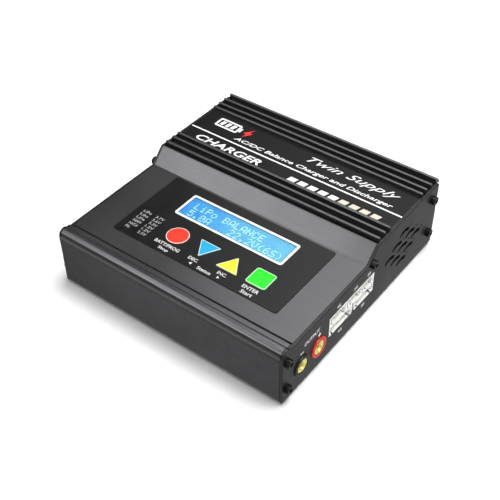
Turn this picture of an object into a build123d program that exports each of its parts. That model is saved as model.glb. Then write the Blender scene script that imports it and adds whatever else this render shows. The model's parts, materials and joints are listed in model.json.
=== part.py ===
from build123d import *
import os

# Balance charger for model aircraft batteries, with its own mains supply.
# An extruded aluminium case stands on four rubber feet, closed at each side by a screwed end plate.
# The low front deck carries a character display and four keys; the high rear half is finned.
# All sizes are in millimetres. +X is the output side, +Y the rear and +Z up.
# The origin is the centre of the footprint, at the underside of the feet.
# While it is built, every piece is placed with y counted from the front face and z from the
# case bottom; save() moves it to the origin.

# ---- Case: driving dimensions ----
case_width = 138.0          # over both end plates
case_depth = 142.2          # front face to the tips of the rear ribs
foot_height = 1.0
plate_thickness = 1.6
wall = 2.0
gap = 0.1                   # assembly gap between fixed pieces
front_seam = 29.4           # height where the top shell meets the bottom shell, front
rear_seam = 12.1            # the same at the rear
deck_top = 32.3
deck_front = 9.7
deck_rear = 71.5
roof_top = 40.2
roof_underside = 36.4
rear_face = 140.0
bead_top = 33.9
bead_radius = 3.8
strip_top = 33.0            # flat strip between the bead and the groove in front of the deck
strip_y = (5.7, 7.9)
groove_floor = 31.2
fin_top = 42.4
fin_thickness = 1.6
fin_valley = 38.4
front_fins = (82.3, 87.5, 92.1)
rear_fins = (124.1, 128.6, 133.6, 139.2)
rear_ribs = (14.6, 19.6, 24.6, 29.6, 34.4, 39.4)
front_rib_pitch = 0.95
front_rib_depth = 0.26
front_rib_start = 1.9
seam_chamfer = 0.35

plate_x = case_width / 2                    # outer face of an end plate
shell_x = plate_x - plate_thickness         # end of the extruded shells
slope_top = deck_rear + roof_top - deck_top

# ---- Screws that hold the end plates, (y, z) of each ----
bottom_screws = ((3.9, 25.6), (3.9, 7.9), (133.6, 10.4))
top_screws = ((75.1, 31.5), (134.3, 32.0))
boss_radius = 3.0
thread_radius = 1.5
shank_radius = 1.45
plate_head_radius = 2.35
plate_head_height = 2.2
plate_key_radius = 1.35     # hexagon socket in the head, over its corners
plate_key_depth = 1.3
plate_screw_length = 12.0

# ---- Display and keys ----
overlay_x = (-50.0, 51.3)
overlay_y = (19.7, 70.0)
overlay_thickness = 0.4
overlay_top = deck_top + overlay_thickness
display_x = 1.1                             # centre of the display
display_y = 55.35
window_size = (64.2, 14.5)
bezel_size = (71.2, 25.2)
display_board_size = (80.0, 36.0)
display_hole_spacing = (75.0, 31.0)
board_thickness = 1.6
upper_board_top = 24.7                      # top face of the display board and the key board
key_top = overlay_top + 0.4
key_travel = 0.4
key_gap = 0.15
key_flange = 0.9
stop_x = -19.0
dec_x = -1.6
inc_x = 15.4
enter_x = 32.5
key_y = 33.7
stop_radius = 6.05
switch_height = 3.5
plunger_radius = 1.75
plunger_proud = 0.7

# ---- Output side ----
socket_y = (15.3, 29.1)
socket_z = 13.35
socket_bore = 2.05
socket_contact_radius = 4.0
socket_collar_radius = 5.75
socket_barrel_radius = 4.7
socket_collar_height = 0.8
socket_mouth = plate_x + 0.5                # face of the contact
socket_countersink = 1.0
socket_depth = 18.0
port_pitch = 2.5
port_wall = 0.8
port_height = 6.0
port_depth = 7.0
port_rows = (15.05, 21.25)                  # z of the lower and the upper row
pin_half = 0.32                             # half the side of a square pin
pin_hole = 0.35
port_block_front = 38.0
port_block_rear = 77.4
balance_board_x = plate_x - port_depth

# ---- Air vents and fan ----
vent_y = 105.6
vent_z = 20.9
vent_step = (6.5, 4.85)
fan_size = 30.0
fan_depth = 10.0
fan_radius = 14.2
fan_hub_radius = 7.0
fan_screw_spacing = 24.0
fan_x = shell_x - gap - fan_depth           # inner face of the fan

# ---- Supply side ----
inlet_y = 112.0
inlet_z = 21.0
jack_y = 83.0
jack_z = 14.0
sensor_y = 66.0

# ---- Circuit boards ----
floor_top = wall
standoff_height = 5.0
board_bottom = floor_top + standoff_height
board_top = board_bottom + board_thickness
main_board_x = (-66.0, 62.0)
main_board_y = (8.0, 77.0)
power_board_x = (-66.0, 50.0)
power_board_y = (80.0, 129.0)
sensor_z = board_top + port_height / 2      # the sensor header sits on the main board


# ---- Shape helpers ----
def block(x, y, z):
    """Box between the low and high value given for each axis."""
    centre = Pos(sum(x) / 2, sum(y) / 2, sum(z) / 2)
    return centre * Box(x[1] - x[0], y[1] - y[0], z[1] - z[0])


def box_along_x(x, y, z, half_y, half_z):
    """Box between two values of x, centred on y and z."""
    return block(x, (y - half_y, y + half_y), (z - half_z, z + half_z))


def rod_x(radius, x, y, z):
    """Cylinder along X between two values of x."""
    return extrude(Plane((x[0], y, z), x_dir=(0, 1, 0), z_dir=(1, 0, 0)) * Circle(radius), x[1] - x[0])


def rod_z(radius, x, y, z):
    """Cylinder along Z between two values of z."""
    return extrude(Pos(x, y, z[0]) * Circle(radius), z[1] - z[0])


def prism_x(section, x):
    """A sketch drawn in (y, z), extruded along X."""
    return extrude(Plane((x[0], 0, 0), x_dir=(0, 1, 0), z_dir=(1, 0, 0)) * section, x[1] - x[0])


def prism_z(section, z):
    """A sketch drawn in (x, y), extruded upwards."""
    return extrude(Pos(0, 0, z[0]) * section, z[1] - z[0])


def rectangle(y, z):
    """Rectangle between the low and high value of both directions."""
    return Pos(sum(y) / 2, sum(z) / 2) * Rectangle(y[1] - y[0], z[1] - z[0])


def outline(*curves):
    """Face inside a closed chain of curves."""
    return make_face([edge for curve in curves for edge in curve.edges()])


def corners(centre, spacing):
    """The four corners of a rectangle, as (x, y)."""
    return [
        (centre[0] + side * spacing[0] / 2, centre[1] + end * spacing[1] / 2)
        for side in (-1, 1)
        for end in (-1, 1)
    ]


def mirrored_x(piece):
    """The same piece on the other side of the case."""
    return mirror(piece, about=Plane.YZ)


nodes = {}


def save(name, *solids):
    """Keep the solids of one node, in the finished frame."""
    place = Pos(0, -case_depth / 2, foot_height)
    nodes[name] = [place * solid for piece in solids for solid in piece.solids()]


# ---- Extruded shells ----
def bead(inset):
    """Front edge of the case, over the raised bead and along the strip, moved inwards by inset."""
    foot = bead_top - bead_radius
    crest = bead_top - inset
    slant = (bead_radius - inset) * 0.5 ** 0.5
    return [
        ThreePointArc((inset, foot), (bead_radius - slant, foot + slant), (bead_radius, crest)),
        ThreePointArc((bead_radius, crest), (4.9, 33.7 - inset), (strip_y[0], strip_top - inset)),
        Line((strip_y[0], strip_top - inset), (strip_y[1], strip_top - inset)),
    ]


def fin(y):
    """One upright cooling fin with a rounded top edge, as a (y, z) section."""
    body = rectangle((y - fin_thickness / 2, y + fin_thickness / 2), (fin_valley - 1, fin_top))
    tips = body.vertices().group_by(Axis.Y)[-1]
    return fillet(tips, 0.5)


def rear_rib(z):
    """One horizontal rib of the rear wall, as a (y, z) section."""
    body = rectangle((rear_face - 1, case_depth), (z - fin_thickness / 2, z + fin_thickness / 2))
    tips = body.vertices().group_by(Axis.X)[-1]
    return fillet(tips, 0.5)


def top_shell():
    outside = outline(
        Line((0, front_seam), (0, bead_top - bead_radius)),
        *bead(0),
        Polyline(
            (strip_y[1], strip_top),
            (strip_y[1], groove_floor),
            (deck_front, groove_floor),
            (deck_front, deck_top),
            (deck_rear, deck_top),
            (slope_top, roof_top),
            (rear_face, roof_top),
            (rear_face, rear_seam),
            (rear_face - wall, rear_seam),
            (rear_face - wall, roof_underside),
            (slope_top - wall, roof_underside),
            (deck_rear - wall / 2, deck_top - wall),
            (3.4, deck_top - wall),
            (3.4, front_seam - 0.6),
            (wall + gap, front_seam - 0.6),
            (wall + gap, front_seam),
            (0, front_seam),
        ),
    )
    first, last = front_fins[0], front_fins[-1]
    section = outside - rectangle((first - 2.1, last - fin_thickness / 2), (fin_valley, roof_top + 1))
    first, last = rear_fins[0], rear_fins[-1]
    section -= rectangle((first + fin_thickness / 2, last), (fin_valley, roof_top + 1))
    for y in front_fins + rear_fins:
        section += fin(y)
    for z in rear_ribs:
        section += rear_rib(z)
    for y, z in top_screws:
        section += Pos(y, z) * Circle(boss_radius)
    y, z = top_screws[1]
    section += rectangle((y, rear_face - wall / 2), (z - 1.5, z + 1.5))
    for y, z in top_screws:
        section -= Pos(y, z) * Circle(thread_radius)
    shell = prism_x(section, (-shell_x, shell_x))

    deck = (deck_top - 2 * wall, deck_top + 1)
    bezel_hole = Pos(display_x, display_y) * Rectangle(bezel_size[0] + 0.4, bezel_size[1] + 0.4)
    shell -= prism_z(bezel_hole, deck)
    for key in key_outlines().values():
        shell -= prism_z(offset(key, key_gap), deck)
    return shell


def bottom_shell():
    bottom_corner = 1.5
    top = front_seam - gap
    rear_top = rear_seam - gap
    section = outline(
        Polyline(
            (wall, wall),
            (wall, top),
            (seam_chamfer, top),
            (0, top - seam_chamfer),
            (0, bottom_corner),
        ),
        ThreePointArc((0, bottom_corner), (0.44, 0.44), (bottom_corner, 0)),
        Line((bottom_corner, 0), (rear_face - 3, 0)),
        ThreePointArc((rear_face - 3, 0), (rear_face - 0.88, 0.88), (rear_face, 3)),
        Polyline(
            (rear_face, 3),
            (rear_face, rear_top),
            (rear_face - wall, rear_top),
            (rear_face - wall - gap, rear_top),
            (rear_face - wall - gap, rear_top + 2),
            (rear_face - wall - 1.2, rear_top + 2),
            (rear_face - wall - 1.2, rear_top - 2),
            (rear_face - wall, rear_top - 3),
            (rear_face - wall, wall),
            (wall, wall),
        ),
    )
    rib_count = int((top - seam_chamfer - front_rib_start) / front_rib_pitch)
    groove_side = front_rib_depth * 2 ** 0.5
    for index in range(rib_count):
        z = front_rib_start + index * front_rib_pitch
        section -= Pos(0, z) * Rot(0, 0, 45) * Rectangle(groove_side, groove_side)
    for y, z in bottom_screws:
        section += Pos(y, z) * Circle(boss_radius)
    y, z = bottom_screws[2]
    section += rectangle((y, rear_face - wall / 2), (z - 1, z + 1))
    for y, z in bottom_screws:
        section -= Pos(y, z) * Circle(thread_radius)
    return prism_x(section, (-shell_x, shell_x))


# ---- End plates ----
def plate_section():
    """Outline of both end plates, a little inside the profile of the shells."""
    edge = 0.1
    low = 0.5
    rear = 139.5
    round_rear = 1.2
    top = roof_top - edge
    deck = deck_top - edge
    body = outline(
        Line((edge, low), (edge, bead_top - bead_radius)),
        *bead(edge),
        Polyline(
            (strip_y[1], strip_top - edge),
            (strip_y[1] + 0.4, deck),
            (deck_rear, deck),
            (slope_top, top),
            (rear, top),
            (rear, low),
            (edge, low),
        ),
    )
    rear_corners = body.vertices().filter_by(lambda vertex: vertex.X > rear - 1)
    return fillet(rear_corners, round_rear)


def vent_slots(y, z):
    """Diamond of nine arched slots, each with a small round hole behind it."""
    slot = SlotArc(ThreePointArc((-3.7, -0.45), (0, 0.45), (3.7, -0.45)), 2.2)
    dot = Pos(6.1, 0.9) * Circle(0.55)
    cut = Sketch()
    for row in range(3):
        for column in range(3):
            across = (row + column - 2) * vent_step[0]
            up = (row - column) * vent_step[1]
            cut += Pos(y + across, z + up) * (slot + dot)
    return cut


def end_plate(cuts):
    """Right-hand end plate: the common outline with its screw holes and the openings given."""
    section = plate_section()
    for y, z in bottom_screws + top_screws:
        section -= Pos(y, z) * Circle(thread_radius + 0.1)
    plate = prism_x(section - cuts, (shell_x, plate_x))
    inner, outer = plate.faces().filter_by(Axis.X)
    return chamfer(inner.outer_wire().edges() + outer.outer_wire().edges(), 0.2)


def right_end_plate():
    ports = rectangle(
        (port_block_front - 0.2, port_block_rear + 0.2),
        (port_rows[0] - port_height / 2 - 0.2, port_rows[1] + port_height / 2 + 0.2),
    )
    cuts = vent_slots(vent_y, vent_z) + ports
    for y in socket_y:
        cuts += Pos(y, socket_z) * Circle(socket_barrel_radius + gap)
    return end_plate(cuts)


def left_end_plate():
    cuts = vent_slots(34.0, 17.0)
    cuts += Pos(inlet_y, inlet_z) * Rectangle(inlet_body[0] + 0.2, inlet_body[1] + 0.2)
    cuts += Pos(jack_y, jack_z) * Circle(jack_radius + gap)
    cuts += Pos(sensor_y, sensor_z) * Rectangle(port_width(3) + 0.2, port_height + 0.2)
    return mirrored_x(end_plate(cuts))


def plate_screws():
    """Five socket-cap screws of the right-hand plate."""
    screws = []
    for y, z in bottom_screws + top_screws:
        head = rod_x(plate_head_radius, (plate_x, plate_x + plate_head_height), y, z)
        head = fillet(head.edges().group_by(Axis.X)[-1], 0.3)
        key_socket = Pos(y, z) * RegularPolygon(plate_key_radius, 6)
        key_bottom = plate_x + plate_head_height - plate_key_depth
        head -= prism_x(key_socket, (key_bottom, plate_x + plate_head_height))
        shank = rod_x(shank_radius, (plate_x - plate_screw_length, plate_x + 0.1), y, z)
        screws.append(head + shank)
    return screws


def rubber_feet():
    foot = Cylinder(5.0, foot_height, align=(Align.CENTER, Align.CENTER, Align.MAX))
    foot = chamfer(foot.edges().group_by(Axis.Z)[0], 0.3)
    return [Pos(x, y, 0) * foot for x, y in corners((0, 70), (112, 112))]


# ---- Display ----
def rounded_panel(x, y, radius):
    centre = Pos(sum(x) / 2, sum(y) / 2)
    return centre * RectangleRounded(x[1] - x[0], y[1] - y[0], radius)


def keypad_overlay():
    sheet = rounded_panel(overlay_x, overlay_y, 1.2)
    sheet -= Pos(display_x, display_y) * Rectangle(window_size[0] + gap, window_size[1] + gap)
    for key in key_outlines().values():
        sheet -= offset(key, key_gap)
    return prism_z(sheet, (deck_top, overlay_top))


def lcd_window():
    return prism_z(Pos(display_x, display_y) * Rectangle(*window_size), (deck_top, overlay_top))


def lcd_bezel():
    """Folded sheet-metal frame that clamps the display glass to its board."""
    sheet = 0.4
    top = deck_top - gap
    outer = Pos(display_x, display_y) * Rectangle(*bezel_size)
    inner = Pos(display_x, display_y) * Rectangle(bezel_size[0] - 2 * sheet, bezel_size[1] - 2 * sheet)
    opening = Pos(display_x, display_y) * Rectangle(window_size[0] + 1.0, window_size[1] + 1.0)
    skirt = prism_z(outer - inner, (upper_board_top, top))
    face = prism_z(outer - opening, (top - sheet, top))
    return skirt + face


def lcd_glass():
    pane = Pos(display_x, display_y) * Rectangle(bezel_size[0] - 2, bezel_size[1] - 2)
    return prism_z(pane, (deck_top - 1.7, deck_top - 0.6))


def lcd_backlight():
    guide = Pos(display_x, display_y) * RectangleRounded(bezel_size[0] - 3, bezel_size[1] - 3, 1)
    return prism_z(guide, (upper_board_top, deck_top - 1.8))


def drilled_board(x, y, top, holes):
    """Circuit board with screw holes."""
    sheet = rounded_panel(x, y, 1.0)
    for hole_x, hole_y in holes:
        sheet -= Pos(hole_x, hole_y) * Circle(thread_radius)
    return prism_z(sheet, (top - board_thickness, top))


display_holes = corners((display_x, display_y), display_hole_spacing)
key_board_x = (-33.0, 46.0)
key_board_y = (21.0, 37.0)
key_holes = [(x, y) for x in (-28.5, 42.5) for y in (23.8, 34.2)]


def lcd_board():
    x, y = display_board_size[0] / 2, display_board_size[1] / 2
    return drilled_board(
        (display_x - x, display_x + x), (display_y - y, display_y + y), upper_board_top, display_holes
    )


def display_standoffs():
    """Pillars between the deck and the two upper boards."""
    pillars = []
    for x, y in display_holes + key_holes:
        pillar = rod_z(1.5, x, y, (upper_board_top, deck_top - wall))
        pillars.append(pillar - rod_z(0.95, x, y, (upper_board_top, deck_top - wall)))
    return pillars


def display_screws():
    """Screws driven up through the two upper boards into the pillars."""
    under = upper_board_top - board_thickness
    screws = []
    for x, y in display_holes + key_holes:
        head = rod_z(1.9, x, y, (under - 1.2, under))
        screws.append(head + rod_z(0.9, x, y, (under - 0.1, under + 5.5)))
    return screws


# ---- Keys ----
def key_outlines():
    """Visible face of each key, as a sketch in (x, y)."""
    down = Polygon((dec_x - 6.4, 38.9), (dec_x, 27.9), (dec_x + 6.4, 38.9), align=None)
    up = Polygon((inc_x - 6.4, 28.3), (inc_x + 6.4, 28.3), (inc_x, 38.9), align=None)
    return {
        "stop": Pos(stop_x, key_y) * Circle(stop_radius),
        "dec": fillet(down.vertices(), 0.4),
        "inc": fillet(up.vertices(), 0.4),
        "enter": Pos(enter_x, key_y) * RectangleRounded(11.6, 11.4, 1.5),
    }


key_centres = {"stop": stop_x, "dec": dec_x, "inc": inc_x, "enter": enter_x}


def key_cap(name):
    """Key with a softened face, a retaining flange below the deck and a short stem."""
    face = key_outlines()[name]
    flange_top = deck_top - wall - gap
    stem_bottom = upper_board_top + switch_height + plunger_proud
    cap = prism_z(face, (flange_top - 0.4, key_top))
    cap = fillet(cap.edges().group_by(Axis.Z)[-1], 0.25)
    flange = prism_z(offset(face, key_flange), (flange_top - 0.8, flange_top))
    stem = rod_z(2.2, key_centres[name], key_y, (stem_bottom, flange_top - 0.4))
    key = cap + flange + stem
    for x, y in display_holes:
        key -= rod_z(2.0, x, y, (flange_top - 1, deck_top - wall + key_travel + 0.2))
    return key


def key_plunger(name):
    bottom = upper_board_top + switch_height - 1.3
    top = upper_board_top + switch_height + plunger_proud
    return rod_z(plunger_radius, key_centres[name], key_y, (bottom, top))


def key_switches():
    """Square switch bodies, each bored for its plunger."""
    bodies = []
    for x in key_centres.values():
        top = upper_board_top + switch_height
        body = block((x - 3, x + 3), (key_y - 3, key_y + 3), (upper_board_top, top))
        bodies.append(body - rod_z(plunger_radius + 0.08, x, key_y, (top - 1.8, top)))
    return bodies


def key_board():
    return drilled_board(key_board_x, key_board_y, upper_board_top, key_holes)


# ---- Output sockets ----
def socket_collar(y):
    """Insulating collar and barrel of one output socket."""
    rim = (plate_x, plate_x + socket_collar_height)
    collar = rod_x(socket_collar_radius, rim, y, socket_z)
    collar = fillet(collar.edges().group_by(Axis.X)[-1], 0.5)
    barrel = rod_x(socket_barrel_radius, (plate_x - 14, plate_x + 0.1), y, socket_z)
    hole = rod_x(socket_contact_radius + 0.02, (plate_x - 15, plate_x + 3), y, socket_z)
    return collar + barrel - hole


def socket_contacts():
    """Gold-plated contact tubes that take 4 mm plugs, closed at the inner end."""
    tubes = []
    for y in socket_y:
        tube = rod_x(socket_contact_radius, (plate_x - socket_depth, socket_mouth), y, socket_z)
        tube = chamfer(tube.edges().group_by(Axis.X)[-1], 0.3)
        bore = rod_x(socket_bore, (plate_x - socket_depth + 2, socket_mouth), y, socket_z)
        tube -= bore
        mouth = tube.faces().filter_by(Axis.X).sort_by(Axis.X)[-1]
        tube = chamfer(mouth.inner_wires()[0].edges(), socket_countersink)
        lug_x = (plate_x - socket_depth - 6, plate_x - socket_depth)
        lug = block(lug_x, (y - 1.5, y + 1.5), (socket_z - 0.5, socket_z + 0.5))
        tubes.append(tube + lug)
    return tubes


# ---- Balance ports ----
def port_width(ways):
    return port_pitch * (ways - 1) + 4.9


def port_housing(ways, y, z):
    """Shrouded header with its mouth at the outer face of the right-hand plate."""
    half_width = port_width(ways) / 2
    half_height = port_height / 2
    body = box_along_x((plate_x - port_depth, plate_x), y, z, half_width, half_height)
    cavity = (plate_x - port_depth + 1.6, plate_x + 1)
    body -= box_along_x(cavity, y, z, half_width - port_wall, half_height - port_wall)
    for side in (-1, 1):
        notch = y + side * (half_width - 2.6)
        body -= block((plate_x - 4.5, plate_x + 1), (notch - 0.6, notch + 0.6), (z - port_height, z))
    for pin_y in pin_places(ways, y):
        body -= box_along_x((plate_x - port_depth - 1, plate_x), pin_y, z, pin_hole, pin_hole)
    return body


def pin_places(ways, y):
    return [y + (index - (ways - 1) / 2) * port_pitch for index in range(ways)]


def port_pins(ways, y, z):
    """Square pins of one header, soldered through the board behind it."""
    reach = (plate_x - port_depth - 2.8, plate_x - 1.4)
    return [box_along_x(reach, pin_y, z, pin_half, pin_half) for pin_y in pin_places(ways, y)]


def balance_ports():
    """Number of ways, y and z of the port of each pack size, from two cells to six."""
    upper = {}
    y = port_block_front
    for cells in (4, 3, 2):
        width = port_width(cells + 1)
        upper[cells] = (cells + 1, y + width / 2, port_rows[1])
        y += width + 1.1
    lower_six = port_block_front + port_width(7) / 2
    lower_five = port_block_rear - port_width(6) / 2
    return {
        **upper,
        5: (6, lower_five, port_rows[0]),
        6: (7, lower_six, port_rows[0]),
    }


def balance_board():
    """Upright board behind the balance ports."""
    sheet = block(
        (balance_board_x - board_thickness, balance_board_x),
        (port_block_front - 1.5, port_block_rear + 1.5),
        (board_top, 27.4),
    )
    for ways, y, z in balance_ports().values():
        for pin_y in pin_places(ways, y):
            sheet -= box_along_x((balance_board_x - 3, balance_board_x + 1), pin_y, z, pin_hole, pin_hole)
    return sheet


# ---- Supply side, drawn for the right-hand plate and mirrored ----
inlet_body = (27.0, 19.6)
inlet_flange = (30.6, 23.0)
inlet_cavity = (24.4, 16.6)
inlet_depth = 18.0
jack_radius = 4.6


def inlet_shape(size, corner):
    """Rectangle with its two upper corners cut off, as on an appliance inlet."""
    half_y, half_z = size[0] / 2, size[1] / 2
    return Pos(inlet_y, inlet_z) * Polygon(
        (-half_y, -half_z),
        (half_y, -half_z),
        (half_y, half_z - corner),
        (half_y - corner, half_z),
        (corner - half_y, half_z),
        (-half_y, half_z - corner),
        align=None,
    )


def inlet_pin_places():
    """Centres of the live, earth and neutral pins."""
    return [(inlet_y - 7, inlet_z - 2), (inlet_y, inlet_z + 2), (inlet_y + 7, inlet_z - 2)]


def ac_inlet():
    mouth = plate_x + 2.0
    flange = Pos(inlet_y, inlet_z) * RectangleRounded(*inlet_flange, 1.5)
    body = prism_x(flange, (plate_x, mouth))
    body = chamfer(body.faces().sort_by(Axis.X)[-1].outer_wire().edges(), 0.6)
    shell = Pos(inlet_y, inlet_z) * Rectangle(*inlet_body)
    body += prism_x(shell, (mouth - inlet_depth, plate_x + 0.1))
    body -= prism_x(inlet_shape(inlet_cavity, 4.0), (mouth - inlet_depth + 2, mouth + 1))
    for y, z in inlet_pin_places():
        body -= box_along_x((plate_x - inlet_depth - 1, plate_x), y, z, 1.05, 2.05)
    return mirrored_x(body)


def ac_inlet_pins():
    tip = plate_x + 2.0 - 4.9
    pins = []
    for y, z in inlet_pin_places():
        pin = box_along_x((plate_x - inlet_depth - 4, tip), y, z, 1.0, 2.0)
        pins.append(mirrored_x(chamfer(pin.edges().group_by(Axis.X)[-1], 0.5)))
    return pins


def dc_jack():
    """Barrel jack housing with a threaded nose through the plate."""
    nose = rod_x(jack_radius, (plate_x - 2, plate_x + 1.2), jack_y, jack_z)
    nose = chamfer(nose.edges().group_by(Axis.X)[-1], 0.4)
    body = block((plate_x - 14, shell_x - gap), (jack_y - 5, jack_y + 5), (board_top, jack_z + 5))
    bore = rod_x(3.15, (plate_x - 9, plate_x + 2), jack_y, jack_z)
    centre = rod_x(1.1, (plate_x - 13, plate_x - 8), jack_y, jack_z)
    return mirrored_x(nose + body - bore - centre)


def dc_jack_pin():
    pin = rod_x(1.05, (plate_x - 12.5, plate_x), jack_y, jack_z)
    return mirrored_x(fillet(pin.edges().group_by(Axis.X)[-1], 0.5))


# ---- Fan ----
fan_axis = Axis((0, vent_y, vent_z), (1, 0, 0))


def fan_frame():
    half = fan_size / 2
    ring = Pos(vent_y, vent_z) * (RectangleRounded(fan_size, fan_size, 2.5) - Circle(fan_radius))
    for y, z in corners((vent_y, vent_z), (fan_screw_spacing, fan_screw_spacing)):
        ring -= Pos(y, z) * Circle(1.5)
    frame = prism_x(ring, (fan_x, fan_x + fan_depth))
    motor = (fan_x, fan_x + 1.4)
    base = rod_x(fan_hub_radius, motor, vent_y, vent_z)
    strut = block(motor, (vent_y - half + 0.2, vent_y + half - 0.2), (vent_z - 0.9, vent_z + 0.9))
    for angle in (30, 90, 150):
        base += strut.rotate(fan_axis, angle)
    base = base & rod_x(fan_radius + 0.2, motor, vent_y, vent_z)
    bearing = rod_x(1.6, (fan_x, fan_x + 5), vent_y, vent_z)
    bore = rod_x(0.8, (fan_x - 1, fan_x + 6), vent_y, vent_z)
    return frame + base + bearing - bore


def fan_rotor():
    """Cup-shaped hub on its shaft, with seven pitched blades."""
    hub = rod_x(fan_hub_radius, (fan_x + 1.8, fan_x + 8.6), vent_y, vent_z)
    hub = fillet(hub.edges().group_by(Axis.X)[-1], 0.8)
    hub -= rod_x(fan_hub_radius - 1, (fan_x + 1, fan_x + 7.4), vent_y, vent_z)
    shaft = rod_x(0.75, (fan_x + 0.3, fan_x + 8), vent_y, vent_z)
    blade = Pos(fan_x + 5.2, vent_y, vent_z) * Rot(0, 0, 38) * Pos(0, 0, 10) * Box(0.8, 8.0, 6.6)
    rotor = hub + shaft
    for index in range(7):
        turned = blade.rotate(fan_axis, index * 360 / 7)
        rotor += turned - rod_x(fan_hub_radius - 0.5, (fan_x, fan_x + 12), vent_y, vent_z)
    return rotor


def fan_bracket():
    """Angle of sheet metal that carries the fan from the case floor."""
    back = fan_x - gap
    face = Pos(vent_y, 19.0) * Rectangle(fan_size, 34.0 - 0.2)
    face -= Pos(vent_y, vent_z) * Circle(fan_radius)
    for y, z in corners((vent_y, vent_z), (fan_screw_spacing, fan_screw_spacing)):
        face -= Pos(y, z) * Circle(1.5)
    upright = prism_x(face, (back - 1.0, back))
    foot = block((back - 6, back), (vent_y - 15, vent_y + 15), (floor_top + gap, floor_top + gap + 1.0))
    return upright + foot


def fan_screws():
    screws = []
    back = fan_x - gap - 1.0
    for y, z in corners((vent_y, vent_z), (fan_screw_spacing, fan_screw_spacing)):
        head = rod_x(2.3, (back - 1.6, back), y, z)
        screws.append(head + rod_x(1.4, (back - 0.1, fan_x + 8), y, z))
    return screws


# ---- Lower boards ----
main_holes = corners((-5.0, 42.5), (98.0, 60.0))
power_holes = corners((-2.0, 104.5), (96.0, 41.0))


def board_standoffs():
    pillars = []
    for x, y in main_holes + power_holes:
        pillar = prism_z(Pos(x, y) * RegularPolygon(2.9, 6), (floor_top, board_bottom))
        pillars.append(pillar - rod_z(1.3, x, y, (floor_top + 0.5, board_bottom)))
    return pillars


def board_screws():
    screws = []
    for x, y in main_holes + power_holes:
        head = rod_z(2.4, x, y, (board_top, board_top + 1.6))
        screws.append(head + rod_z(1.25, x, y, (board_bottom - 4, board_top + 0.1)))
    return screws


def insulation_sheet():
    sheet = rectangle((power_board_x[0], power_board_x[1] - 3), power_board_y)
    for x, y in power_holes:
        sheet -= Pos(x, y) * Circle(3.5)
    return prism_z(sheet, (floor_top, floor_top + 0.4))


# ---- Parts on the main board ----
def can(radius, height, x, y):
    """Electrolytic capacitor standing on a lower board, with its crimped shoulder."""
    body = rod_z(radius, x, y, (board_top, board_top + height))
    crimp = Pos(x, y, board_top + 2) * Torus(radius + 0.25, 0.6)
    return fillet(body.edges().group_by(Axis.Z)[-1], 0.5) - crimp


def microcontroller():
    chip = block((-6, 6), (22, 34), (board_top, board_top + 1.4))
    for index in range(11):
        along = -5 + index
        chip += block((along - 0.2, along + 0.2), (20.9, 35.1), (board_top, board_top + 0.5))
        chip += block((-7.1, 7.1), (28 + along - 0.2, 28 + along + 0.2), (board_top, board_top + 0.5))
    return chip


heatsink_y = (60.0, 63.0)


def mosfet_heatsink():
    return block((-48, 16), heatsink_y, (board_top, board_top + 12))


def mosfets():
    """Row of power transistors against the front of the heat spreader."""
    row = []
    for index in range(5):
        x = -42 + index * 13
        back = heatsink_y[0]
        body = block((x - 5, x + 5), (back - 4.5, back), (board_top + 2, board_top + 11))
        for lead in (x - 2.5, x, x + 2.5):
            body += block((lead - 0.4, lead + 0.4), (back - 2.6, back - 2.1), (board_top, board_top + 2.5))
        row.append(body)
    return row


inductor_x = 35.0
inductor_y = 62.0


def inductor_core():
    ring = Pos(inductor_x, inductor_y) * (Circle(8.5) - Circle(4.5))
    return prism_z(ring, (board_top + 1, board_top + 7))


def inductor_winding():
    """Separate turns of thick wire round the ring core."""
    turns = []
    for index in range(12):
        turn = Box(6.2, 1.2, 8) - Box(4.1, 2, 6.1)
        placed = Pos(inductor_x, inductor_y, board_top + 4) * Rot(0, 0, index * 30) * Pos(6.5, 0, 0) * turn
        turns.append(placed)
    return turns


def output_capacitors():
    return [can(4, 11, 38, y) for y in (24, 34, 44)]


# ---- Parts on the power board ----
transformer_x = 4.0
transformer_y = 104.0


def transformer_core():
    """Closed frame of two E-shaped halves, with a round middle leg."""
    core = block((-13, 13), (-6, 6), (1, 23))
    for side in (-1, 1):
        window = sorted((side * 4.0, side * 9.5))
        core -= block(window, (-7, 7), (5, 19))
    return Pos(transformer_x, transformer_y, board_top) * core


def transformer_winding():
    coil = block((-9.4, 9.4), (-11, 11), (5.1, 18.9))
    coil = fillet(coil.edges().filter_by(Axis.Z), 2.5)
    coil -= block((-4.1, 4.1), (-6.1, 6.1), (5, 19))
    return Pos(transformer_x, transformer_y, board_top) * coil


def power_heatsink():
    """Comb of upright fins beside the fan."""
    spine = block((30, 32), (84, 125), (board_top, board_top + 20))
    for index in range(9):
        y = 85 + index * 4.8
        spine += block((32, 40), (y - 0.6, y + 0.6), (board_top, board_top + 20))
    return spine


def rectifier():
    body = block((-36, -14), (120, 124), (board_top + 2, board_top + 16))
    for index in range(4):
        x = -32.5 + index * 5
        body += block((x - 0.6, x + 0.6), (121.6, 122.4), (board_top, board_top + 2.5))
    return body


# ---- The assembly ----
save("top_shell", top_shell())
save("bottom_shell", bottom_shell())
save("right_end_plate", right_end_plate())
save("left_end_plate", left_end_plate())
save("right_plate_screws", *plate_screws())
save("left_plate_screws", *[mirrored_x(screw) for screw in plate_screws()])
save("rubber_feet", *rubber_feet())

save("keypad_overlay", keypad_overlay())
save("lcd_window", lcd_window())
save("lcd_bezel", lcd_bezel())
save("lcd_glass", lcd_glass())
save("lcd_backlight", lcd_backlight())
save("lcd_board", lcd_board())
save("display_standoffs", *display_standoffs())
save("display_screws", *display_screws())
save("key_board", key_board())
save("key_switches", *key_switches())
for key_name in key_centres:
    save(key_name + "_key", key_cap(key_name))
    save(key_name + "_plunger", key_plunger(key_name))

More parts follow.
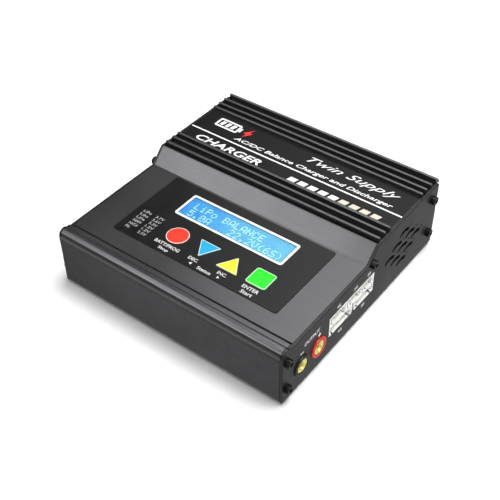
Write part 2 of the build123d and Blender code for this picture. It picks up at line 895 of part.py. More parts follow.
save("negative_socket", socket_collar(socket_y[0]))
save("positive_socket", socket_collar(socket_y[1]))
save("socket_contacts", *socket_contacts())
header_pins = [mirrored_x(pin) for pin in port_pins(3, sensor_y, sensor_z)]
for cells, (port_ways, port_y, port_z) in balance_ports().items():
    save("balance_port_%ds" % cells, port_housing(port_ways, port_y, port_z))
    header_pins += port_pins(port_ways, port_y, port_z)
save("header_pins", *header_pins)
save("balance_board", balance_board())

save("ac_inlet", ac_inlet())
save("ac_inlet_pins", *ac_inlet_pins())
save("dc_jack", dc_jack())
save("dc_jack_pin", dc_jack_pin())
save("sensor_port", mirrored_x(port_housing(3, sensor_y, sensor_z)))

save("fan_frame", fan_frame())
save("fan_rotor", fan_rotor())
save("fan_bracket", fan_bracket())
save("fan_screws", *fan_screws())

save("main_board", drilled_board(main_board_x, main_board_y, board_top, main_holes))
save("power_board", drilled_board(power_board_x, power_board_y, board_top, power_holes))
save("board_standoffs", *board_standoffs())
save("board_screws", *board_screws())
save("insulation_sheet", insulation_sheet())
save("microcontroller", microcontroller())
save("mosfet_heatsink", mosfet_heatsink())
save("mosfets", *mosfets())
save("inductor_core", inductor_core())
save("inductor_winding", *inductor_winding())
save("output_capacitors", *output_capacitors())
save("transformer_core", transformer_core())
save("transformer_winding", transformer_winding())
save("bulk_capacitor", can(9, 24, -30, 92))
save("rectifier", rectifier())
save("power_heatsink", power_heatsink())

os.makedirs("parts", exist_ok=True)
for name, solids in nodes.items():
    if len(solids) == 1:
        export_step(solids[0], "parts/%s.step" % name)
    else:
        export_step(Compound(children=solids), "parts/%s.step" % name)
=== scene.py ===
import json
import math

import bpy
import bmesh
from mathutils import Matrix, Vector


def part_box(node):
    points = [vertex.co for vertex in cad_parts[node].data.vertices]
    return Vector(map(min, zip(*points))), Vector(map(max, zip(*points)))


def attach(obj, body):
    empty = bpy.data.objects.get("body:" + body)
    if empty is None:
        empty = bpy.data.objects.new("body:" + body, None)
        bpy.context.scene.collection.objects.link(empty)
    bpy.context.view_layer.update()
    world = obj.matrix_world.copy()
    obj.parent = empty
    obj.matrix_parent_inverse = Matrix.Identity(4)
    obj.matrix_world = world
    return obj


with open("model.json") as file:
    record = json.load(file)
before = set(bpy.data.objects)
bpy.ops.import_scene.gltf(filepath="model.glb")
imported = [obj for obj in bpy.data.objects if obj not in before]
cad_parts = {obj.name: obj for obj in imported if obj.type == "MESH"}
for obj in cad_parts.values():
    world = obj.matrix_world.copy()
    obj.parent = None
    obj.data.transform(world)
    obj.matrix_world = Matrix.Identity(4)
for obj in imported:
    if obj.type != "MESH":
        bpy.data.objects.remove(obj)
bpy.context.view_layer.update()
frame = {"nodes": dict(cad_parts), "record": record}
MM = 0.001

# Places on the charger are counted in millimetres: x from the outer face of the left end plate,
# y from the front wall and z from the underside of the case.
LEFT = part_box("left_end_plate")[0].x
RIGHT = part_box("right_end_plate")[1].x
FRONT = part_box("bottom_shell")[0].y
CASE_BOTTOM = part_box("bottom_shell")[0].z
OVERLAY_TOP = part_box("keypad_overlay")[1].z
KEY_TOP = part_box("stop_key")[1].z
GLASS_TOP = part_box("lcd_glass")[1].z
# The end plates stop this far below the roof.
PLATE_STEP = 0.1
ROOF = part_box("left_end_plate")[1].z + PLATE_STEP * MM
CASE_WIDTH = (RIGHT - LEFT) / MM


# ---------------------------------------------------------------- camera
def look_from(target, distance, azimuth, elevation, roll):
    """Camera matrix: azimuth 0 looks along +Y, and elevation is the angle down to the target."""
    azimuth, elevation, roll = (math.radians(angle) for angle in (azimuth, elevation, roll))
    back = Vector((
        math.sin(azimuth) * math.cos(elevation),
        -math.cos(azimuth) * math.cos(elevation),
        math.sin(elevation),
    ))
    level = Vector((math.cos(azimuth), math.sin(azimuth), 0))
    upright = back.cross(level)
    right = level * math.cos(roll) + upright * math.sin(roll)
    up = upright * math.cos(roll) - level * math.sin(roll)
    matrix = Matrix((right, up, back)).transposed().to_4x4()
    matrix.translation = target + back * distance
    return matrix


def add_camera():
    camera = bpy.data.objects.new("camera", bpy.data.cameras.new("camera"))
    camera.data.lens = 66.2
    camera.data.sensor_width = 36
    camera.data.clip_start = 0.01
    bpy.context.scene.collection.objects.link(camera)
    bpy.context.scene.camera = camera
    camera.matrix_world = look_from(
        target=Vector((1.61, -5.40, 11.87)) * MM,
        distance=481.6 * MM,
        azimuth=37.38,
        elevation=42.53,
        roll=-0.65,
    )


add_camera()


# ---------------------------------------------------------------- material nodes
NOISE_LOW, NOISE_HIGH = 0.3, 0.7


class Surface:
    """A material being built around one Principled shader, textured in object coordinates."""

    def __init__(self, name, roughness=0.5, metallic=0.0, **sockets):
        self.material = bpy.data.materials.new(name)
        self.material.use_nodes = True
        self.nodes = self.material.node_tree.nodes
        self.links = self.material.node_tree.links
        self.shader = self.nodes["Principled BSDF"]
        self.place = self.nodes.new("ShaderNodeTexCoord").outputs["Object"]
        self.shader.inputs["Roughness"].default_value = roughness
        self.shader.inputs["Metallic"].default_value = metallic
        for socket, value in sockets.items():
            self.shader.inputs[socket.replace("_", " ")].default_value = value

    def noise(self, scale, detail=3.0, stretch=(1, 1, 1)):
        """Noise with that many features to the metre, drawn out along axes where stretch is below 1."""
        mapping = self.nodes.new("ShaderNodeMapping")
        mapping.inputs["Scale"].default_value = [scale * part for part in stretch]
        texture = self.nodes.new("ShaderNodeTexNoise")
        texture.inputs["Scale"].default_value = 1
        texture.inputs["Detail"].default_value = detail
        self.links.new(self.place, mapping.inputs["Vector"])
        self.links.new(mapping.outputs["Vector"], texture.inputs["Vector"])
        return texture.outputs["Fac"]

    def ramp(self, value, low_colour, high_colour, low=NOISE_LOW, high=NOISE_HIGH):
        """Colour that follows a value."""
        node = self.nodes.new("ShaderNodeValToRGB")
        first, last = node.color_ramp.elements
        first.position, first.color = low, (*low_colour, 1)
        last.position, last.color = high, (*high_colour, 1)
        self.links.new(value, node.inputs["Fac"])
        return node.outputs["Color"]

    def spread(self, value, low, high):
        """The usual range of a noise value, spread from low to high."""
        node = self.nodes.new("ShaderNodeMapRange")
        node.inputs["From Min"].default_value = NOISE_LOW
        node.inputs["From Max"].default_value = NOISE_HIGH
        node.inputs["To Min"].default_value = low
        node.inputs["To Max"].default_value = high
        self.links.new(value, node.inputs["Value"])
        return node.outputs["Result"]

    def join(self, operation, *values):
        """Result of a math node on these values, each a number or another node's output."""
        node = self.nodes.new("ShaderNodeMath")
        node.operation = operation
        for socket, value in zip(node.inputs, values):
            if isinstance(value, (int, float)):
                socket.default_value = value
            else:
                self.links.new(value, socket)
        return node.outputs["Value"]

    def bump(self, height, depth):
        """Relief of that depth in millimetres."""
        node = self.nodes.new("ShaderNodeBump")
        node.inputs["Strength"].default_value = 1
        node.inputs["Distance"].default_value = depth * MM
        self.links.new(height, node.inputs["Height"])
        self.links.new(node.outputs["Normal"], self.shader.inputs["Normal"])

    def set(self, socket, value):
        self.links.new(value, self.shader.inputs[socket])


def tint(colour, factor):
    return tuple(min(1.0, part * factor) for part in colour)


def anodised(name, colour, roughness, stretch=(0.006, 1, 1)):
    """Satin anodised aluminium: fine draw lines, a dusty grain and faint handling marks."""
    surface = Surface(name, metallic=0.9)
    lines = surface.noise(1900, 4, stretch)
    grain = surface.noise(5200, 2)
    marks = surface.noise(28, 5)
    mixed = surface.join("MULTIPLY_ADD", lines, 0.5, surface.join("MULTIPLY", grain, 0.5))
    surface.set("Base Color", surface.ramp(mixed, tint(colour, 0.9), tint(colour, 1.1)))
    rough = surface.join("ADD", surface.spread(marks, -0.03, 0.04), surface.spread(grain, -0.03, 0.03))
    surface.set("Roughness", surface.join("ADD", rough, roughness))
    surface.bump(mixed, 0.004)
    return surface.material


def moulded(name, colour, roughness, grain=900, depth=0.02):
    """Moulded plastic: a fine sparked texture, slight mottling and duller, dusty patches."""
    surface = Surface(name)
    fine = surface.noise(grain * 4, 3)
    patches = surface.noise(60, 4)
    surface.set("Base Color", surface.ramp(patches, tint(colour, 0.93), tint(colour, 1.07)))
    rough = surface.join("ADD", surface.spread(fine, -0.04, 0.05), surface.spread(patches, -0.04, 0.04))
    surface.set("Roughness", surface.join("ADD", rough, roughness))
    surface.bump(fine, depth)
    return surface.material


def metal(name, colour, roughness, scale=3000, stretch=(1, 1, 1), metallic=1.0):
    """Bare or plated metal with fine wear."""
    surface = Surface(name, metallic=metallic)
    wear = surface.noise(scale, 4, stretch)
    patches = surface.noise(150, 3)
    surface.set("Base Color", surface.ramp(patches, tint(colour, 0.88), tint(colour, 1.05)))
    surface.set("Roughness", surface.join("ADD", surface.spread(wear, -0.06, 0.08), roughness))
    surface.bump(wear, 0.006)
    return surface.material


def film(name, colour, roughness, gloss=0.5):
    """Printed plastic film with a barely rippled surface."""
    surface = Surface(name, Specular_IOR_Level=gloss)
    fine = surface.noise(5000, 2)
    ripple = surface.noise(90, 2)
    surface.set("Base Color", surface.ramp(fine, tint(colour, 0.9), tint(colour, 1.1)))
    surface.set("Roughness", surface.join("ADD", surface.spread(ripple, -0.04, 0.05), roughness))
    surface.bump(surface.join("ADD", ripple, surface.join("MULTIPLY", fine, 0.04)), 0.03)
    return surface.material


def ink(name, colour):
    """Screen-printed ink, slightly uneven in cover."""
    surface = Surface(name)
    cover = surface.noise(2500, 3)
    surface.set("Base Color", surface.ramp(cover, tint(colour, 0.9), colour, 0.25, 0.5))
    surface.set("Roughness", surface.join("ADD", surface.spread(cover, -0.05, 0.06), 0.45))
    surface.bump(cover, 0.004)
    return surface.material


def display_glow(name, left_colour, right_colour, strength):
    """Backlit liquid crystal that glows, brighter towards the right, with faint clouding."""
    surface = Surface(name, roughness=0.3, Emission_Strength=strength, Specular_IOR_Level=0.1)
    axis = surface.nodes.new("ShaderNodeSeparateXYZ")
    surface.links.new(surface.place, axis.inputs["Vector"])
    low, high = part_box("lcd_glass")
    across = surface.nodes.new("ShaderNodeMapRange")
    across.inputs["From Min"].default_value = low.x
    across.inputs["From Max"].default_value = high.x
    surface.links.new(axis.outputs["X"], across.inputs["Value"])
    clouds = surface.spread(surface.noise(130, 4), -0.22, 0.22)
    blend = surface.join("ADD", across.outputs["Result"], clouds)
    colour = surface.ramp(blend, left_colour, right_colour, 0, 1)
    surface.set("Base Color", colour)
    surface.set("Emission Color", colour)
    return surface.material


def clear_plastic(name):
    """Anti-glare display window: clear, with a faint haze and hardly any mirror image."""
    surface = Surface(name, Transmission_Weight=1.0, IOR=1.25, Specular_IOR_Level=0.12)
    haze = surface.noise(200, 3)
    surface.set("Roughness", surface.spread(haze, 0.08, 0.13))
    return surface.material


def circuit_board(name):
    """Green solder mask over copper tracks."""
    surface = Surface(name, roughness=0.3)
    tracks = surface.noise(260, 1, (1, 0.25, 1))
    surface.set("Base Color", surface.ramp(tracks, (0.005, 0.07, 0.025), (0.015, 0.16, 0.05), 0.48, 0.52))
    surface.bump(tracks, 0.03)
    return surface.material


def lit_ink(name, colour, strength):
    """Clear segments of the display, lit from behind and slightly uneven."""
    surface = Surface(name, roughness=0.4, Emission_Strength=strength, Specular_IOR_Level=0.1)
    patches = surface.ramp(surface.noise(700, 2), tint(colour, 0.8), colour)
    surface.set("Base Color", patches)
    surface.set("Emission Color", patches)
    return surface.material


def turned_black(name):
    """Black oxide screw: dark, slightly oily, worn brighter in patches."""
    surface = Surface(name, metallic=0.7)
    wear = surface.noise(1800, 4)
    surface.set("Base Color", surface.ramp(wear, (0.012, 0.012, 0.013), (0.05, 0.05, 0.052), 0.45, 0.8))
    surface.set("Roughness", surface.spread(wear, 0.28, 0.45))
    surface.bump(wear, 0.01)
    return surface.material


MATERIALS = {
    "anodised_shell": anodised("shell_anodised", (0.128, 0.128, 0.133), 0.30),
    # Painted shade: a darker copy of the shell's anodised colour, so the lower shell's front wall looks
    # shaded.
    "painted_shade_shell": anodised("bottom_anodised_painted_shade", (0.036, 0.036, 0.038), 0.26),
    "end_plate": anodised("plate_anodised", (0.050, 0.050, 0.0505), 0.40, (1, 1, 0.02)),
    "black_screw": turned_black("screw_black"),
    "rubber": moulded("foot_rubber", (0.02, 0.02, 0.02), 0.75, 500, 0.05),
    "overlay": film("overlay_film", (0.006, 0.006, 0.0065), 0.32, gloss=0.3),
    "window": clear_plastic("window_clear"),
    "display_glass": display_glow("display_blue", (0.050, 0.28, 0.68), (0.095, 0.42, 0.60), 0.68),
    "display_ink": lit_ink("display_segments", (0.42, 0.78, 0.92), 0.85),
    "backlight": moulded("backlight_white", (0.7, 0.78, 0.85), 0.5),
    "tin_plate": metal("bezel_tin", (0.45, 0.45, 0.46), 0.35),
    "board_green": circuit_board("board_solder_mask"),
    "key_red": film("key_red", (0.62, 0.036, 0.020), 0.38, gloss=0.25),
    "key_blue": film("key_blue", (0.014, 0.32, 0.54), 0.38, gloss=0.25),
    "key_yellow": film("key_yellow", (0.72, 0.72, 0.030), 0.38, gloss=0.25),
    "key_green": film("key_green", (0.018, 0.72, 0.022), 0.38, gloss=0.25),
    "black_plastic": moulded("plastic_black", (0.008, 0.008, 0.008), 0.42),
    "red_plastic": moulded("plastic_red", (0.62, 0.030, 0.015), 0.32, depth=0.008),
    "white_plastic": moulded("plastic_white", (0.95, 0.95, 0.95), 0.42, depth=0.01),
    "gold": metal("contact_gold", (1.0, 0.88, 0.30), 0.34, metallic=0.4),
    "nickel": metal("pin_nickel", (0.62, 0.61, 0.58), 0.25),
    "copper": metal("winding_copper", (0.62, 0.25, 0.09), 0.3),
    "ferrite": moulded("ferrite", (0.04, 0.04, 0.045), 0.6, 700, 0.05),
    "bare_aluminium": metal("aluminium_bare", (0.58, 0.58, 0.60), 0.38, 2500, (0.02, 1, 1)),
    "capacitor_sleeve": film("capacitor_sleeve", (0.015, 0.02, 0.09), 0.3),
    "fibre_sheet": moulded("fibre_sheet", (0.42, 0.36, 0.22), 0.7, 300, 0.08),
    "white_ink": ink("ink_white", (0.80, 0.80, 0.79)),
    "grey_ink": ink("ink_grey", (0.36, 0.36, 0.36)),
    "pale_ink": ink("ink_pale", (0.58, 0.58, 0.58)),
    "cream_ink": ink("ink_cream", (0.56, 0.52, 0.43)),
    "red_ink": ink("ink_red", (0.75, 0.02, 0.025)),
    "rim_white": ink("rim_white", (0.62, 0.64, 0.62)),
    "label_black": film("label_black", (0.004, 0.004, 0.0042), 0.36, gloss=0.25),
}


def dress_cad_nodes():
    """Give every CAD node the material of its slot. The lower shell has a darker copy of the shell material
    of its own: painted shade on its front wall.
    """
    for part in frame["record"]["subparts"]:
        slot = part["material_slot"]
        # Painted shade: the lower shell takes the darkened copy of the shell material.
        if part["node"] == "bottom_shell":
            slot = "painted_shade_shell"
        node = frame["nodes"][part["node"]]
        for material_slot in node.material_slots:
            material_slot.material = MATERIALS[slot]


dress_cad_nodes()


# ---------------------------------------------------------------- flat printed pieces
# The reading direction and the upward direction of each printed face.
TOP = (Vector((1, 0, 0)), Vector((0, 1, 0)))
RIGHT_SIDE = (Vector((0, 1, 0)), Vector((0, 0, 1)))
LEFT_SIDE = (Vector((0, -1, 0)), Vector((0, 0, 1)))
INK_THICKNESS = 0.03
# The middle of a print lies this far above its face, so its underside is sunk in a little.
INK_LIFT = INK_THICKNESS / 3
# Letters are drawn this thick before they are scaled to their size.
DRAWN_THICKNESS = 0.02
CIRCLE_POINTS = 48
CORNER_STEPS = 5


def on_top(x, y, surface):
    """Point on an upward face at that level."""
    return Vector((LEFT + x * MM, FRONT + y * MM, surface))


def on_right(y, z):
    """Point on the outer face of the right end plate."""
    return Vector((RIGHT, FRONT + y * MM, CASE_BOTTOM + z * MM))


def on_left(y, z):
    """Point on the outer face of the left end plate."""
    return Vector((LEFT, FRONT + y * MM, CASE_BOTTOM + z * MM))


def finish_piece(name, mesh, material, body):
    """Add the mesh to the scene as a named piece that moves with the body."""
    piece = bpy.data.objects.new(name, mesh)
    bpy.context.scene.collection.objects.link(piece)
    mesh.materials.clear()
    mesh.materials.append(MATERIALS[material])
    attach(piece, body)


def mesh_from_curve(curve):
    """Mesh of a curve or text object, which is then dropped."""
    holder = bpy.data.objects.new("holder", curve)
    bpy.context.scene.collection.objects.link(holder)
    bpy.context.view_layer.update()
    mesh = bpy.data.meshes.new_from_object(holder.evaluated_get(bpy.context.evaluated_depsgraph_get()))
    bpy.data.objects.remove(holder)
    return mesh


def lay_on(mesh, origin, axes):
    """Move a mesh drawn in millimetres onto a face, along the axes given."""
    across, up = axes
    matrix = Matrix((across * MM, up * MM, across.cross(up) * MM)).transposed().to_4x4()
    matrix.translation = origin + across.cross(up) * INK_LIFT * MM
    mesh.transform(matrix)


def outline_mesh(loops):
    """Flat sheet bounded by closed loops of (x, y) points; a loop inside another is a hole."""
    curve = bpy.data.curves.new("outline", "CURVE")
    curve.dimensions = "2D"
    curve.fill_mode = "BOTH"
    curve.extrude = INK_THICKNESS / 2
    for loop in loops:
        spline = curve.splines.new("POLY")
        spline.points.add(len(loop) - 1)
        for point, (x, y) in zip(spline.points, loop):
            point.co = (x, y, 0, 1)
        spline.use_cyclic_u = True
    return mesh_from_curve(curve)


def print_shape(name, loops, origin, axes=TOP, material="white_ink"):
    mesh = outline_mesh(loops)
    lay_on(mesh, origin, axes)
    finish_piece(name, mesh, material, "case")


def text_mesh(words, width, height, slant=0.0, weight=0.0):
    """Words as a flat mesh centred on its own middle, fitted to a width and a height."""
    curve = bpy.data.curves.new("words", "FONT")
    curve.body = words
    curve.shear = slant
    curve.offset = weight
    curve.resolution_u = 3
    curve.extrude = DRAWN_THICKNESS / 2
    mesh = mesh_from_curve(curve)
    xs = [vertex.co.x for vertex in mesh.vertices]
    ys = [vertex.co.y for vertex in mesh.vertices]
    middle = Vector(((min(xs) + max(xs)) / 2, (min(ys) + max(ys)) / 2, 0))
    across = width / (max(xs) - min(xs))
    up = height / (max(ys) - min(ys))
    through = INK_THICKNESS / DRAWN_THICKNESS
    mesh.transform(Matrix.Diagonal((across, up, through, 1)) @ Matrix.Translation(-middle))
    return mesh


def print_text(name, words, width, height, origin, axes=TOP, material="white_ink", slot="overlay", **style):
    mesh = text_mesh(words, width, height, **style)
    lay_on(mesh, origin, axes)
    finish_piece(name, mesh, material, "case")


def circle(radius):
    turns = [2 * math.pi * index / CIRCLE_POINTS for index in range(CIRCLE_POINTS)]
    return [(radius * math.cos(turn), radius * math.sin(turn)) for turn in turns]


def polygon_corners(points):
    """Each corner, the directions from it to its neighbours and half the angle between them."""
    for index, point in enumerate(points):
        corner = Vector(point)
        before = (Vector(points[index - 1]) - corner).normalized()
        after = (Vector(points[(index + 1) % len(points)]) - corner).normalized()
        yield corner, before, after, before.angle(after) / 2


def rounded(points, radius):
    """Convex anticlockwise polygon with each corner replaced by an arc."""
    loop = []
    for corner, before, after, half in polygon_corners(points):
        centre = corner + (before + after).normalized() * radius / math.sin(half)
        start = corner + before * radius / math.tan(half) - centre
        sweep = math.pi - 2 * half
        for step in range(CORNER_STEPS + 1):
            spoke = start.copy()
            spoke.rotate(Matrix.Rotation(sweep * step / CORNER_STEPS, 2))
            loop.append(tuple(centre + spoke))
    return loop


def rectangle(width, height, radius):
    x, y = width / 2, height / 2
    return rounded([(-x, -y), (x, -y), (x, y), (-x, y)], radius)


def inset(points, amount):
    """Convex polygon with each side moved inwards."""
    return [
        tuple(corner + (before + after).normalized() * amount / math.sin(half))
        for corner, before, after, half in polygon_corners(points)
    ]


# ---------------------------------------------------------------- keypad prints
# Corners of a rim's cross-section: how far in from the key's edge, and how far above its top.
KEY_RIM_SECTION = ((0.04, -0.24), (0.09, -0.05), (0.22, 0.02), (0.48, 0.02), (0.48, -0.05))
KEY_ROW = 33.7
KEY_PLACES = {"stop": 50.0, "dec": 67.4, "inc": 84.4, "enter": 101.5}
STOP_KEY_RADIUS = 6.05
# Outline and corner radius of each key that isn't round.
KEY_OUTLINES = {
    "dec": ([(-6.4, 5.2), (0, -5.8), (6.4, 5.2)], 0.4),
    "inc": ([(-6.4, -5.4), (6.4, -5.4), (0, 5.2)], 0.4),
    "enter": ([(-5.8, -5.7), (5.8, -5.7), (5.8, 5.7), (-5.8, 5.7)], 1.5),
}
SHARPEST_CORNER = 0.12


def key_rims():
    """Pale rim of each key, wrapped over its rounded edge."""
    steps = [step for step, height in KEY_RIM_SECTION]
    add_rim("stop", [circle(STOP_KEY_RADIUS - step) for step in steps])
    for key, (points, radius) in KEY_OUTLINES.items():
        add_rim(key, [rounded(inset(points, step), max(radius - step, SHARPEST_CORNER)) for step in steps])


def add_rim(key, loops):
    """Closed band whose cross-section follows KEY_RIM_SECTION, one loop to each of its corners."""
    count = len(loops[0])
    points = [(*point, height) for loop, (step, height) in zip(loops, KEY_RIM_SECTION) for point in loop]
    faces = []
    for ring in range(len(loops)):
        other = (ring + 1) % len(loops)
        for index in range(count):
            after = (index + 1) % count
            near, far = ring * count, other * count
            faces.append((near + index, near + after, far + after, far + index))
    mesh = bpy.data.meshes.new(key + "_key_rim")
    mesh.from_pydata(points, [], faces)
    mesh.update()
    lay_on(mesh, on_top(KEY_PLACES[key], KEY_ROW, KEY_TOP), TOP)
    finish_piece(key + "_key_rim", mesh, "rim_white", key + "_button")


def display_frame():
    outer = rectangle(67.3, 17.4, 1.5)
    inner = rectangle(64.6, 14.8, 0.5)
    print_shape("display_border", [outer, inner], on_top(70.1, 55.35, OVERLAY_TOP))


def keypad_words():
    # words, x, y, width, height
    labels = (
        ("BATT/PROG", 50.2, 25.3, 15.4, 2.2),
        ("Stop", 50.3, 22.0, 6.2, 2.2),
        ("DEC.", 67.0, 25.3, 5.8, 2.1),
        ("Status", 76.0, 22.1, 8.2, 2.0),
        ("INC.", 84.6, 25.3, 5.3, 2.1),
        ("ENTER", 101.5, 25.3, 9.4, 2.2),
        ("Start", 101.5, 22.0, 6.6, 2.2),
    )
    for words, x, y, width, height in labels:
        name = "legend_" + words.replace("/", "_").replace(".", "").lower()
        print_text(name, words, width, height, on_top(x, y, OVERLAY_TOP), material="pale_ink", weight=0.02)
    left_arrow = [(-0.8, 0), (0.6, -0.8), (0.6, 0.8)]
    right_arrow = [(-0.6, -0.8), (0.8, 0), (-0.6, 0.8)]
    print_shape("legend_left_arrow", [left_arrow], on_top(KEY_PLACES["dec"], 22.3, OVERLAY_TOP))
    print_shape("legend_right_arrow", [right_arrow], on_top(KEY_PLACES["inc"], 22.3, OVERLAY_TOP))


def battery_list():
    """Two columns of battery kinds and voltages at the left of the keys."""
    rows = (
        ("LiPo", "3.7V"), ("LiIo", "3.6V"), ("LiFe", "3.3V"),
        ("NiMH", "1.2V"), ("NiCd", "1.2V"), ("Pb", "2.0V"),
    )
    first_row, row_pitch, letter_height = 38.6, 2.8, 1.7
    kind_edge, kind_letter_width = 23.3, 1.3
    voltage_middle, voltage_width = 34.2, 5.4
    for index, (kind, voltage) in enumerate(rows):
        kind_width = kind_letter_width * len(kind)
        columns = (
            ("kind", kind, kind_width, kind_edge + kind_width / 2),
            ("voltage", voltage, voltage_width, voltage_middle),
        )
        for column, words, width, x in columns:
            name = "battery_%s_%d" % (column, index + 1)
            place = on_top(x, first_row - row_pitch * index, OVERLAY_TOP)
            print_text(name, words, width, letter_height, place, material="grey_ink", weight=0.01)


key_rims()
display_frame()
keypad_words()
battery_list()


# ---------------------------------------------------------------- display characters
GLYPHS = {
    "L": "X.... X.... X.... X.... X.... X.... XXXXX",
    "i": "..X.. ..... .XX.. ..X.. ..X.. ..X.. .XXX.",
    "P": "XXXX. X...X X...X XXXX. X.... X.... X....",
    "o": "..... ..... .XXX. X...X X...X X...X .XXX.",
    "B": "XXXX. X...X X...X XXXX. X...X X...X XXXX.",
    "A": ".XXX. X...X X...X X...X XXXXX X...X X...X",
    "N": "X...X X...X XX..X X.X.X X..XX X...X X...X",
    "C": ".XXX. X...X X.... X.... X.... X...X .XXX.",
    "E": "XXXXX X.... X.... XXXX. X.... X.... XXXXX",
    "V": "X...X X...X X...X X...X X...X .X.X. ..X..",
    "S": ".XXXX X.... X.... .XXX. ....X ....X XXXX.",
    "0": ".XXX. X...X X..XX X.X.X XX..X X...X .XXX.",
    "2": ".XXX. X...X ....X ...X. ..X.. .X... XXXXX",
    "5": "XXXXX X.... XXXX. ....X ....X X...X .XXX.",
    "6": "..XX. .X... X.... XXXX. X...X X...X .XXX.",
    ".": "..... ..... ..... ..... ..... .XX.. .XX..",
    "(": "...X. ..X.. .X... .X... .X... ..X.. ...X.",
    ")": ".X... ..X.. ...X. ...X. ...X. ..X.. .X...",
}
TEXT_CENTRE = (71.0, 54.9)
DISPLAY_COLUMNS = 16
CELL_PITCH = 3.70
ROW_PITCH = 5.9
DOT_PITCH = (0.60, 0.68)
DOT_GAP = 0.06


def display_characters(name, lines):
    """Lit dots of a 16 by 2 character display, each a thin square tile."""
    tiles = bmesh.new()
    for row, line in enumerate(lines):
        for column, letter in enumerate(line):
            if letter == " ":
                continue
            left = (column - (DISPLAY_COLUMNS - 1) / 2) * CELL_PITCH - 2 * DOT_PITCH[0]
            top = (0.5 - row) * ROW_PITCH + 3 * DOT_PITCH[1]
            for dot_row, dots in enumerate(GLYPHS[letter].split()):
                for dot_column, dot in enumerate(dots):
                    if dot == "X":
                        place = (left + dot_column * DOT_PITCH[0], top - dot_row * DOT_PITCH[1])
                        add_tile(tiles, place, (DOT_PITCH[0] - DOT_GAP, DOT_PITCH[1] - DOT_GAP))
    mesh = bpy.data.meshes.new(name)
    tiles.to_mesh(mesh)
    tiles.free()
    lay_on(mesh, on_top(*TEXT_CENTRE, GLASS_TOP), TOP)
    finish_piece(name, mesh, "display_ink", "case")


def add_tile(tiles, place, size):
    matrix = Matrix.Translation((*place, 0)) @ Matrix.Diagonal((*size, INK_THICKNESS, 1))
    bmesh.ops.create_cube(tiles, size=1.0, matrix=matrix)


display_characters("display_text", ("LiPo BALANCE", "5.0A   22.2V(6S)"))


# ---------------------------------------------------------------- roof label
LABEL_WIDTH = 134.4
LABEL_FRONT = 93.0
LABEL_REAR = 123.2
LABEL_TOP = ROOF + INK_THICKNESS * MM / 2
EMBLEM_ROW = 115.6


def roof_label():
    """Black printed film between the third and the fourth fin."""
    depth = LABEL_REAR - LABEL_FRONT
    loops = [rectangle(LABEL_WIDTH, depth, 0.4)]
    place = on_top(CASE_WIDTH / 2, LABEL_FRONT + depth / 2, ROOF)
    print_shape("roof_label", loops, place, material="label_black")


def slanted(width, height, lean):
    """Bar that leans to the right, like the lettering beside it."""
    side, top = width / 2, height / 2
    return [(-side - lean, -top), (side - lean, -top), (side + lean, top), (lean - side, top)]


def roof_prints():
    """A line across the label, a row of white and cream dashes and three lines of words."""
    line = [rectangle(LABEL_WIDTH, 0.95, 0.05)]
    print_shape("roof_line", line, on_top(CASE_WIDTH / 2, 104.0, LABEL_TOP))
    dash_row, first_dash, dash_pitch = 96.7, 75.2, 6.3
    dashes, white_dashes = 9, 5
    for index in range(dashes):
        material = "white_ink" if index < white_dashes else "cream_ink"
        place = on_top(first_dash + dash_pitch * index, dash_row, LABEL_TOP)
        print_shape("roof_dash_%d" % (index + 1), [slanted(4.6, 3.2, 0.5)], place, material=material)
    print_text("roof_title", "CHARGER", 43, 5.0, on_top(32, 97.8, LABEL_TOP), slant=0.25, weight=0.02)
    words = "AC/DC Balance Charger and Discharger"
    print_text("roof_subtitle", words, 100, 3.6, on_top(78.5, 107.8, LABEL_TOP), slant=0.25, weight=0.015)
    print_text("roof_supply", "Twin Supply", 56, 6.5, on_top(100, 115.8, LABEL_TOP), slant=0.5)


def roof_emblem():
    """A plain battery sign with a red flash beside it."""
    body = [rectangle(15, 7.6, 1.0), rectangle(12.6, 5.2, 0.5)]
    print_shape("emblem_battery", body, on_top(18.5, EMBLEM_ROW, LABEL_TOP))
    print_shape("emblem_terminal", [rectangle(1.4, 3.6, 0.3)], on_top(26.9, EMBLEM_ROW, LABEL_TOP))
    cells, first_cell, cell_pitch = 3, 14.8, 3.6
    for index in range(cells):
        place = on_top(first_cell + cell_pitch * index, EMBLEM_ROW, LABEL_TOP)
        print_shape("emblem_cell_%d" % (index + 1), [slanted(2.2, 3.8, 0.4)], place)
    flash = [(-1.2, -4.6), (2.6, 1.0), (0.5, 1.0), (1.8, 4.6), (-2.6, -0.9), (-0.4, -0.9)]
    print_shape("emblem_flash", [flash], on_top(32, EMBLEM_ROW, LABEL_TOP), material="red_ink")


roof_label()
roof_prints()
roof_emblem()


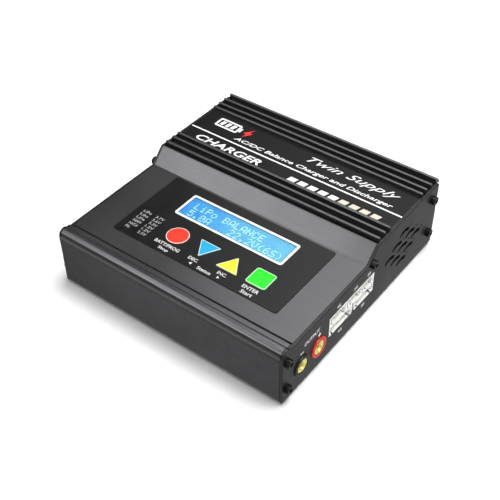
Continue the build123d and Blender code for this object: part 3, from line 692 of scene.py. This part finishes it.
# ---------------------------------------------------------------- end plate prints
def plate_prints():
    """Lettering of both end plates, with a plus and a minus beside the output sockets."""
    # piece, words, y, z, width, height
    labels = (
        ("output", "OUTPUT", 23.4, 25.1, 12.5, 2.2),
        ("port_4s", "4S", 45.4, 27.0, 3.2, 1.8),
        ("port_3s", "3S", 60.2, 27.0, 3.2, 1.8),
        ("port_2s", "2S", 72.4, 27.0, 3.2, 1.8),
        ("port_6s", "6S", 48.0, 8.6, 3.2, 1.8),
        ("port_5s", "5S", 68.7, 8.6, 3.2, 1.8),
    )
    for name, words, y, z, width, height in labels:
        place = on_right(y, z)
        print_text("label_" + name, words, width, height, place, RIGHT_SIDE, slot="end_plate", weight=0.02)
    arm, half = 1.3, 0.3
    plus = [(-arm, -half), (-half, -half), (-half, -arm), (half, -arm), (half, -half), (arm, -half),
            (arm, half), (half, half), (half, arm), (-half, arm), (-half, half), (-arm, half)]
    print_shape("label_plus", [plus], on_right(29.6, 21.4), RIGHT_SIDE)
    minus = rectangle(2 * arm, 2 * half, 0.1)
    print_shape("label_minus", [minus], on_right(15.3, 21.4), RIGHT_SIDE)
    inlets = (
        ("ac_input", "AC INPUT", 112, 35.6, 14, 2.0),
        ("dc_input", "DC INPUT", 83, 22.4, 12, 1.8),
        ("sensor", "TEMP", 66, 18.6, 7, 1.8),
    )
    for name, words, y, z, width, height in inlets:
        place = on_left(y, z)
        print_text("label_" + name, words, width, height, place, LEFT_SIDE, slot="end_plate", weight=0.02)


plate_prints()


# ---------------------------------------------------------------- floor and light
FLOOR_REACH = 3
SOFTBOX_DISTANCE = 1.2


def add_floor():
    """White paper, left out of reflections: they see the world below the horizon in its place."""
    mesh = bpy.data.meshes.new("floor")
    corners = [(x * FLOOR_REACH, y * FLOOR_REACH, 0) for x, y in ((-1, -1), (1, -1), (1, 1), (-1, 1))]
    mesh.from_pydata(corners, [], [(0, 1, 2, 3)])
    floor = bpy.data.objects.new("floor", mesh)
    bpy.context.scene.collection.objects.link(floor)
    surface = Surface("floor_paper", roughness=0.9)
    surface.set("Base Color", surface.ramp(surface.noise(40, 3), (0.90, 0.90, 0.90), (0.93, 0.93, 0.93)))
    mesh.materials.append(surface.material)
    floor.visible_glossy = False


def add_softbox(name, azimuth, elevation, size, radiance):
    """Soft light that faces the object. Angles are in degrees, and azimuth goes from +X towards +Y."""
    azimuth, elevation = math.radians(azimuth), math.radians(elevation)
    towards = Vector((
        math.cos(elevation) * math.cos(azimuth),
        math.cos(elevation) * math.sin(azimuth),
        math.sin(elevation),
    ))
    lamp = bpy.data.lights.new(name, "AREA")
    lamp.shape = "RECTANGLE"
    lamp.size, lamp.size_y = size
    lamp.energy = radiance * math.pi * size[0] * size[1]
    light = bpy.data.objects.new(name, lamp)
    light.location = towards * SOFTBOX_DISTANCE
    light.rotation_euler = towards.to_track_quat("Z", "Y").to_euler()
    bpy.context.scene.collection.objects.link(light)


def add_world(above, below):
    """Dim room, brighter below the horizon, where only reflections see past the floor."""
    world = bpy.data.worlds.new("studio")
    world.use_nodes = True
    nodes, links = world.node_tree.nodes, world.node_tree.links
    place = nodes.new("ShaderNodeTexCoord")
    axis = nodes.new("ShaderNodeSeparateXYZ")
    # The change lies in a band a little below the horizon.
    strength = nodes.new("ShaderNodeMapRange")
    strength.inputs["From Min"].default_value = -0.35
    strength.inputs["From Max"].default_value = -0.1
    strength.inputs["To Min"].default_value = below
    strength.inputs["To Max"].default_value = above
    links.new(place.outputs["Generated"], axis.inputs["Vector"])
    links.new(axis.outputs["Z"], strength.inputs["Value"])
    links.new(strength.outputs["Result"], nodes["Background"].inputs["Strength"])
    nodes["Background"].inputs["Color"].default_value = (1, 1, 1, 1)
    bpy.context.scene.world = world


def add_studio():
    add_world(above=0.02, below=0.6)
    add_softbox("overhead_softbox", 54, 75, (0.8, 0.8), 10.8)
    add_softbox("rear_softbox", 111, 47, (0.60, 0.45), 1.65)
    add_softbox("left_softbox", -150, 57, (0.45, 0.45), 2.8)
    add_softbox("front_softbox", -123, 36, (0.60, 0.40), 3.6)
    add_softbox("low_softbox", -72, 12, (0.40, 0.25), 6)
    add_softbox("right_softbox", 12, 25, (0.40, 0.40), 5)
    bpy.context.scene.view_settings.view_transform = "Standard"


add_floor()
add_studio()
